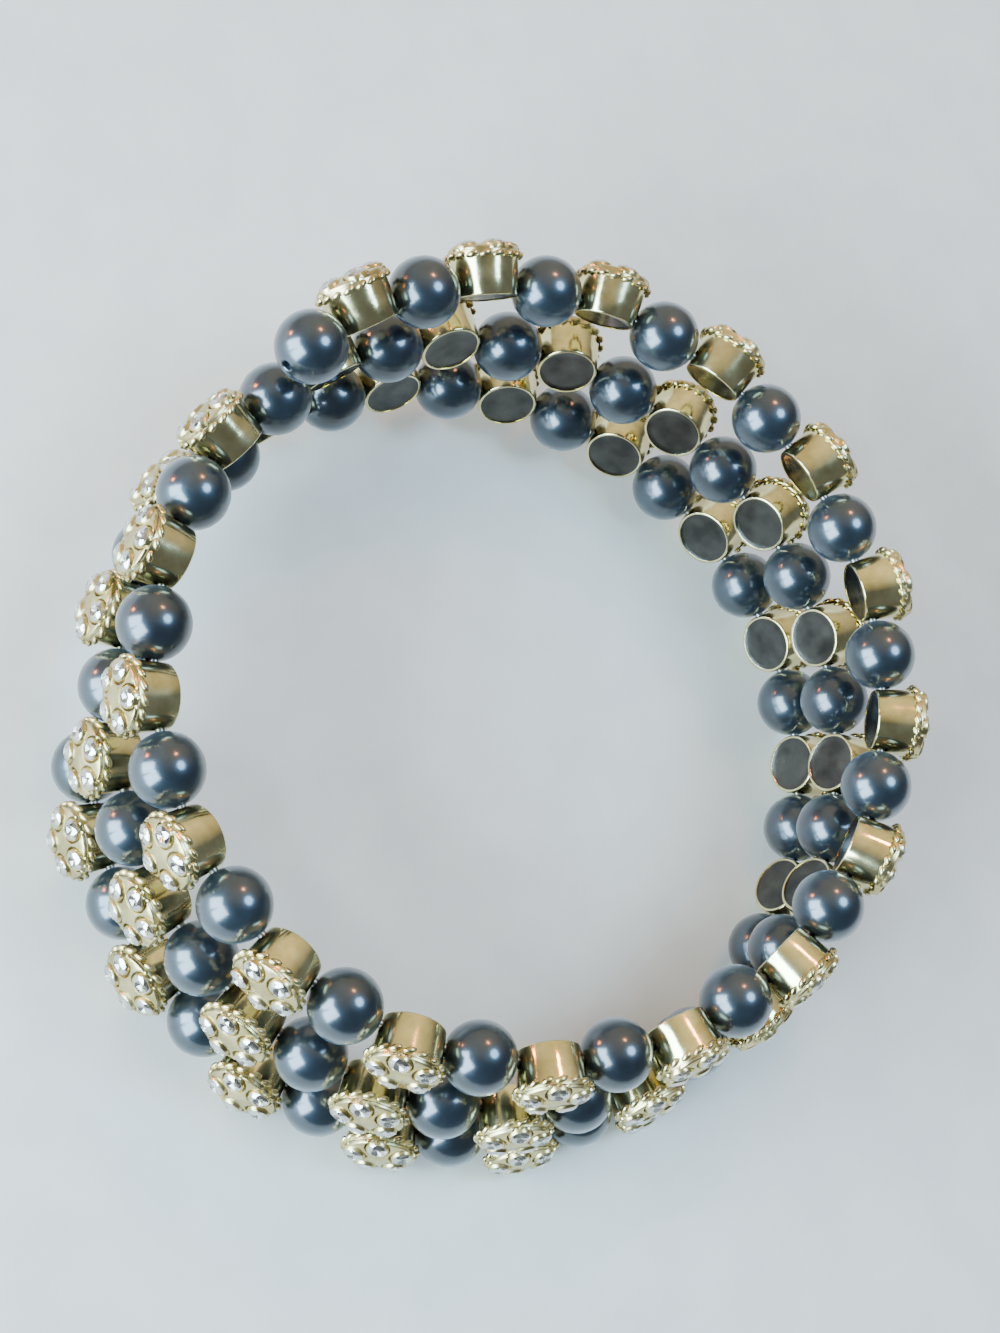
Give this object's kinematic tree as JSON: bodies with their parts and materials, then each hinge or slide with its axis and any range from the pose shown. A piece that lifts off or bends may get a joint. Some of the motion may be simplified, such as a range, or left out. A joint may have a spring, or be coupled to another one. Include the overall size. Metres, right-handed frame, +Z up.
{
  "type": "pearl bracelet",
  "caption": "Coil bracelet of navy pearls and round silver crystal cups strung in turn on a springy wire, lying on its side.",
  "frame": {"origin": "on the table, under the middle of the bracelet's outline", "axes": "+Z up, along the coil's axis; -Y towards the picture's camera"},
  "size_m": [0.0772, 0.0792, 0.0267],
  "materials": {
    "navy_pearl": "pearlescent lacquer on glass",
    "silver_cup": "polished silver plate",
    "crystal": "faceted foiled crystal",
    "spring_wire": "drawn steel wire"
  },
  "bodies": {
    "root": {"upper_bead_string": "navy_pearl", "lower_bead_string": "navy_pearl"}
  },
  "joints": []
}
